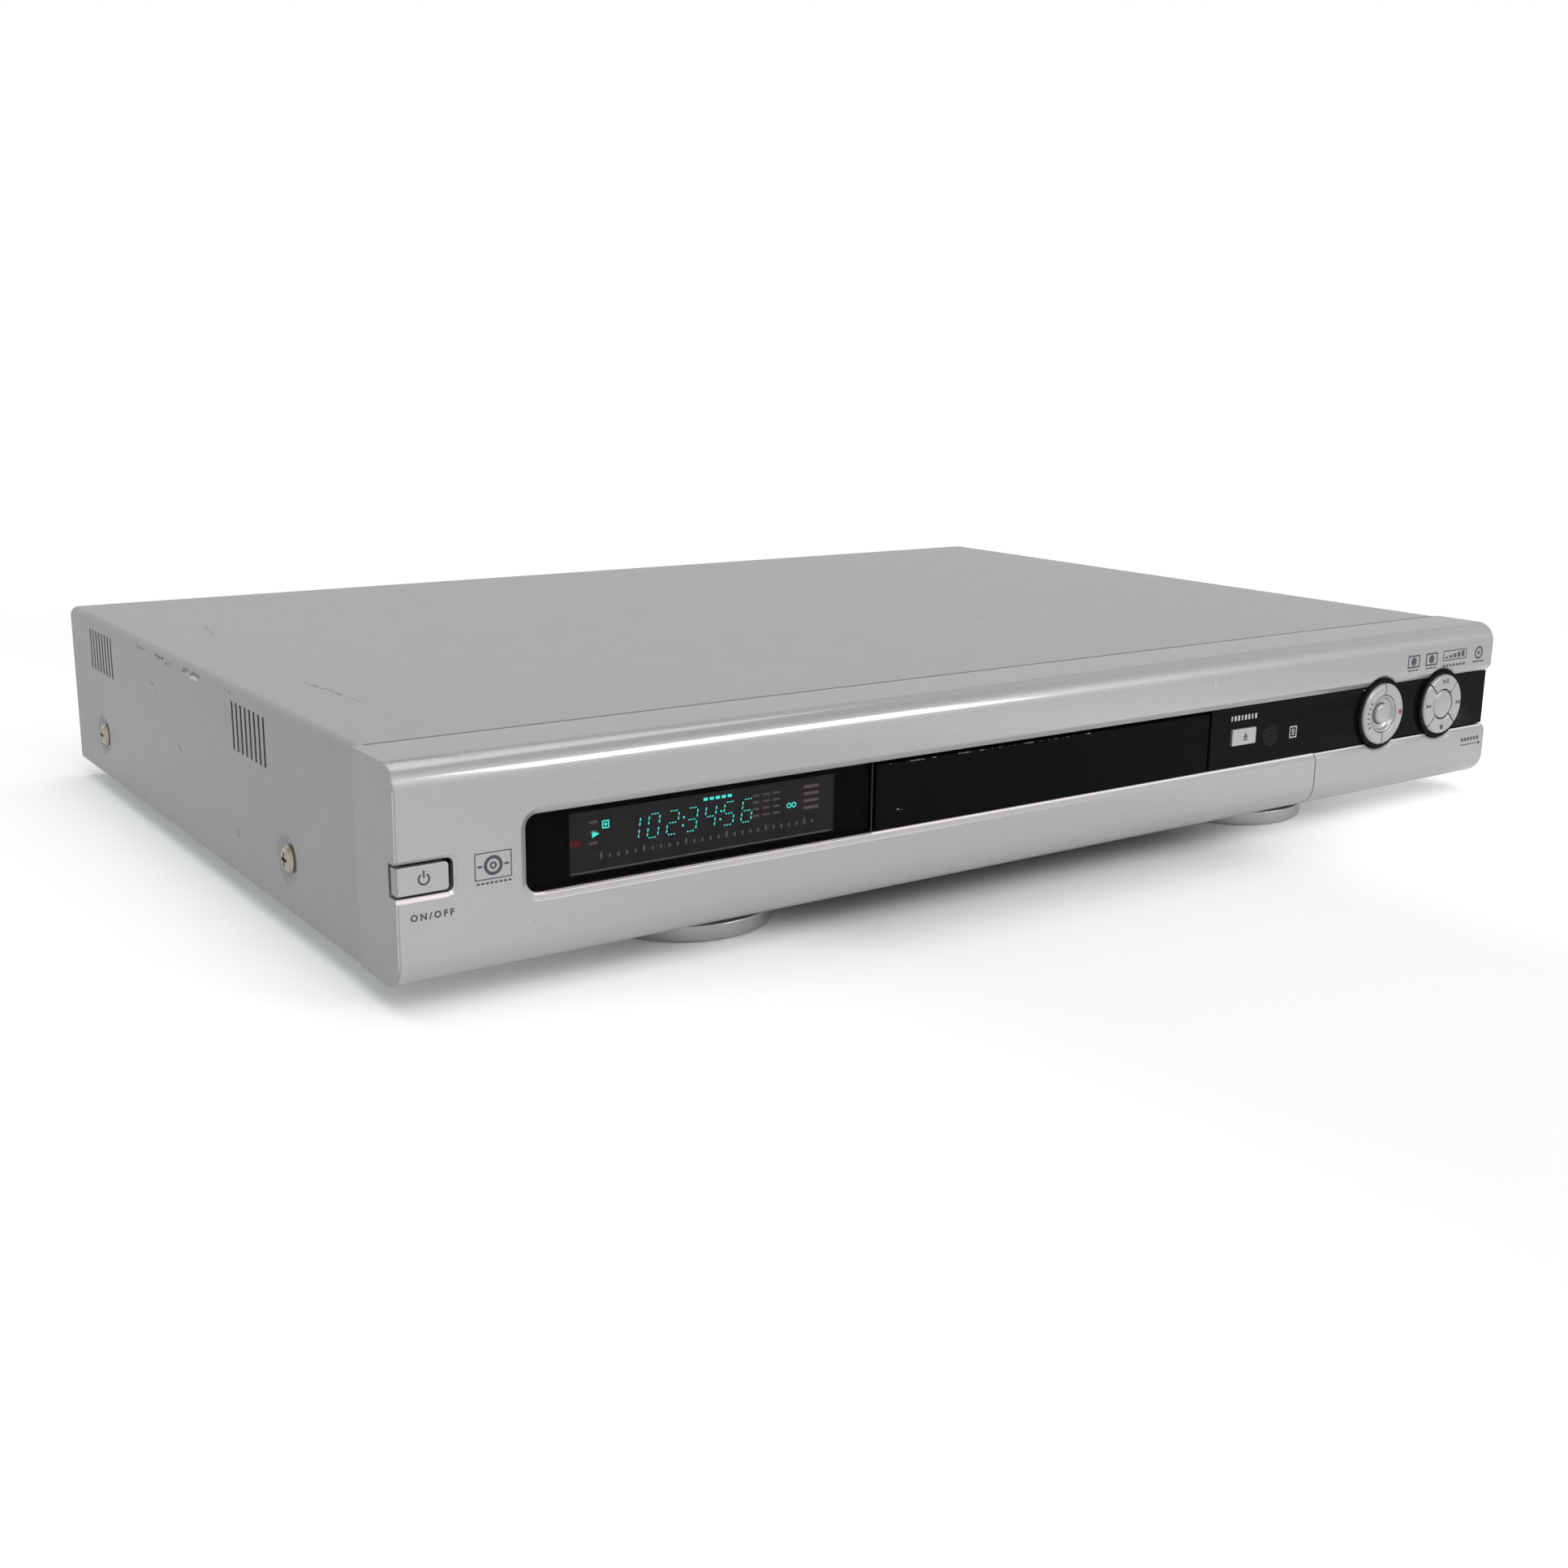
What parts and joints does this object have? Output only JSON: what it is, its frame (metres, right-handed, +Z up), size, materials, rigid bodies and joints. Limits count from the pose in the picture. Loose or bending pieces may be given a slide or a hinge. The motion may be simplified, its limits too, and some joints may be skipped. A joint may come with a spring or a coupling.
{
  "type": "disc player",
  "caption": "Full-width disc player and recorder with a motor-driven tray, lit display, two round button groups and a drop-down flap over front sockets.",
  "frame": {"origin": "centre of the outline on the surface the feet stand on", "axes": "+X to the right seen from the front, +Y from the front panel towards the rear panel, +Z up"},
  "size_m": [0.4312, 0.312, 0.0635],
  "materials": {
    "cover_paint": "fine metallic silver paint, satin",
    "silver_moulding": "metallic silver painted moulding, satin",
    "silver_key": "metallic silver painted, semi-gloss",
    "zinc_steel": "zinc-plated sheet",
    "band_black": "polished black",
    "door_black": "satin black",
    "lens_smoke": "smoked acrylic, polished",
    "inner_black": "moulded black",
    "foot_silver": "metallic silver, semi-gloss",
    "pad_rubber": "soft rubber",
    "screw_nickel": "nickel-plated",
    "frame_grey": "moulded grey-black",
    "gear_white": "acetal white",
    "belt_rubber": "smooth rubber",
    "brass": "turned",
    "rod_steel": "polished",
    "motor_steel": "plated can",
    "pcb_green": "lacquered board",
    "pcb_brown": "paper-based board",
    "heat_aluminium": "extruded",
    "core_yellow": "taped winding and ferrite core",
    "cap_sleeve": "shrink sleeve",
    "tube_glass": "display tube glass",
    "socket_mix": "plated sockets in moulded blocks"
  },
  "bodies": {
    "case": {"chassis": "zinc_steel", "top_cover": "cover_paint", "rear_panel": "zinc_steel", "front_bezel": "silver_moulding", "display_lens": "lens_smoke", "right_panel": "band_black", "tray_surround": "inner_black", "dial_dish": "silver_key", "front_socket_panel": "inner_black", "front_sockets": "socket_mix", "display_board": "pcb_green", "display_tube": "tube_glass", "key_boards": "pcb_green", "foot_front_left": "foot_silver", "foot_front_right": "foot_silver", "foot_rear_left": "foot_silver", "foot_rear_right": "foot_silver", "foot_pads": "pad_rubber", "side_screws": "screw_nickel", "rear_screws": "screw_nickel", "drive_screws": "screw_nickel", "drive_frame": "frame_grey", "drive_belt": "belt_rubber", "loading_motor": "motor_steel", "clamp_bridge": "zinc_steel", "main_board": "pcb_green", "heat_sink": "heat_aluminium", "psu_board": "pcb_brown", "transformer": "core_yellow", "psu_capacitors": "cap_sleeve", "tuner": "zinc_steel", "rear_sockets": "socket_mix", "ac_inlet": "inner_black", "fan_frame": "inner_black"},
    "tray": {"tray": "frame_grey", "tray_front": "door_black"},
    "flap": {"front_flap": "silver_moulding"},
    "power_key": {"power_button": "silver_moulding"},
    "eject_key": {"eject_button": "silver_key"},
    "source_key": {"source_button": "silver_key"},
    "record_key": {"record_button": "silver_key"},
    "select_key": {"select_button": "silver_key"},
    "play_key": {"play_button": "silver_key"},
    "next_key": {"next_button": "silver_key"},
    "stop_key": {"stop_button": "silver_key"},
    "previous_key": {"previous_button": "silver_key"},
    "enter_key": {"enter_button": "silver_key"},
    "drive_gear": {"drive_gear": "gear_white"},
    "pulley_wheel": {"pulley_wheel": "gear_white"},
    "motor_pulley": {"motor_pulley": "brass"},
    "traverse": {"traverse": "zinc_steel", "spindle_motor": "motor_steel", "guide_rods": "rod_steel", "sled_motor": "motor_steel"},
    "turntable": {"turntable": "frame_grey"},
    "clamp_puck": {"clamp_puck": "frame_grey"},
    "sled": {"pickup_sled": "frame_grey"},
    "sled_gear": {"sled_gear": "gear_white"},
    "sled_pinion": {"sled_pinion": "brass"},
    "fan_rotor": {"fan_rotor": "inner_black"}
  },
  "joints": [
    {"name": "tray_slide", "type": "slide", "parent": "case", "child": "tray", "axis": [0, -1, 0], "range_m": [0, 0.138]},
    {"name": "drive_gear_spin", "type": "hinge", "parent": "case", "child": "drive_gear", "pos_m": [-0.05215, -0.105, 0.027], "axis": [0, 0, 1], "range_deg": [-5, 801]},
    {"name": "pulley_wheel_spin", "type": "hinge", "parent": "case", "child": "pulley_wheel", "pos_m": [-0.0333, -0.11379, 0.022], "axis": [0, 0, 1], "range_deg": [-2646, 5]},
    {"name": "motor_pulley_spin", "type": "hinge", "parent": "case", "child": "motor_pulley", "pos_m": [-0.01065, -0.1095, 0.02], "axis": [0, 0, 1], "range_deg": [-7039, 5]},
    {"name": "traverse_tilt", "type": "hinge", "parent": "case", "child": "traverse", "pos_m": [-0.00265, 0.01, 0.021], "axis": [1, 0, 0], "range_deg": [0, 3.5]},
    {"name": "turntable_spin", "type": "hinge", "parent": "traverse", "child": "turntable", "pos_m": [-0.00265, -0.077, 0.027], "axis": [0, 0, 1], "continuous": true},
    {"name": "clamp_spin", "type": "hinge", "parent": "case", "child": "clamp_puck", "pos_m": [-0.00265, -0.077, 0.043], "axis": [0, 0, 1], "continuous": true},
    {"name": "sled_slide", "type": "slide", "parent": "traverse", "child": "sled", "axis": [0, 1, 0], "range_m": [0, 0.034]},
    {"name": "sled_gear_spin", "type": "hinge", "parent": "traverse", "child": "sled_gear", "pos_m": [0.02695, -0.035, 0.024], "axis": [0, 0, 1], "range_deg": [-416, 5]},
    {"name": "sled_pinion_spin", "type": "hinge", "parent": "traverse", "child": "sled_pinion", "pos_m": [0.03351, -0.02719, 0.018], "axis": [0, 0, 1], "range_deg": [-5, 985]},
    {"name": "fan_spin", "type": "hinge", "parent": "case", "child": "fan_rotor", "pos_m": [-0.06665, 0.139, 0.03525], "axis": [0, 1, 0], "continuous": true},
    {"name": "flap_hinge", "type": "hinge", "parent": "case", "child": "flap", "pos_m": [0.167, -0.148, 0.01], "axis": [1, 0, 0], "range_deg": [0, 90]},
    {"name": "power_press", "type": "slide", "parent": "case", "child": "power_key", "axis": [0, 1, 0], "range_m": [0, 0.0006], "stiffness_N_per_m": 120},
    {"name": "eject_press", "type": "slide", "parent": "case", "child": "eject_key", "axis": [0, 1, 0], "range_m": [0, 0.0006], "stiffness_N_per_m": 120},
    {"name": "source_press", "type": "slide", "parent": "case", "child": "source_key", "axis": [0, 1, 0], "range_m": [0, 0.0006], "stiffness_N_per_m": 120},
    {"name": "record_press", "type": "slide", "parent": "case", "child": "record_key", "axis": [0, 1, 0], "range_m": [0, 0.0006], "stiffness_N_per_m": 120},
    {"name": "select_press", "type": "slide", "parent": "case", "child": "select_key", "axis": [0, 1, 0], "range_m": [0, 0.0006], "stiffness_N_per_m": 120},
    {"name": "play_press", "type": "slide", "parent": "case", "child": "play_key", "axis": [0, 1, 0], "range_m": [0, 0.0006], "stiffness_N_per_m": 120},
    {"name": "next_press", "type": "slide", "parent": "case", "child": "next_key", "axis": [0, 1, 0], "range_m": [0, 0.0006], "stiffness_N_per_m": 120},
    {"name": "stop_press", "type": "slide", "parent": "case", "child": "stop_key", "axis": [0, 1, 0], "range_m": [0, 0.0006], "stiffness_N_per_m": 120},
    {"name": "previous_press", "type": "slide", "parent": "case", "child": "previous_key", "axis": [0, 1, 0], "range_m": [0, 0.0006], "stiffness_N_per_m": 120},
    {"name": "enter_press", "type": "slide", "parent": "case", "child": "enter_key", "axis": [0, 1, 0], "range_m": [0, 0.0006], "stiffness_N_per_m": 120}
  ],
  "couplings": [
    {"joint": "drive_gear_spin", "follows": "tray_slide", "rad_per_m": 100},
    {"joint": "pulley_wheel_spin", "follows": "tray_slide", "rad_per_m": -333.33},
    {"joint": "motor_pulley_spin", "follows": "tray_slide", "rad_per_m": -888.89},
    {"joint": "sled_gear_spin", "follows": "sled_slide", "rad_per_m": -208.33},
    {"joint": "sled_pinion_spin", "follows": "sled_slide", "rad_per_m": 500},
    {"joint": "clamp_spin", "follows": "turntable_spin", "ratio": 1}
  ]
}
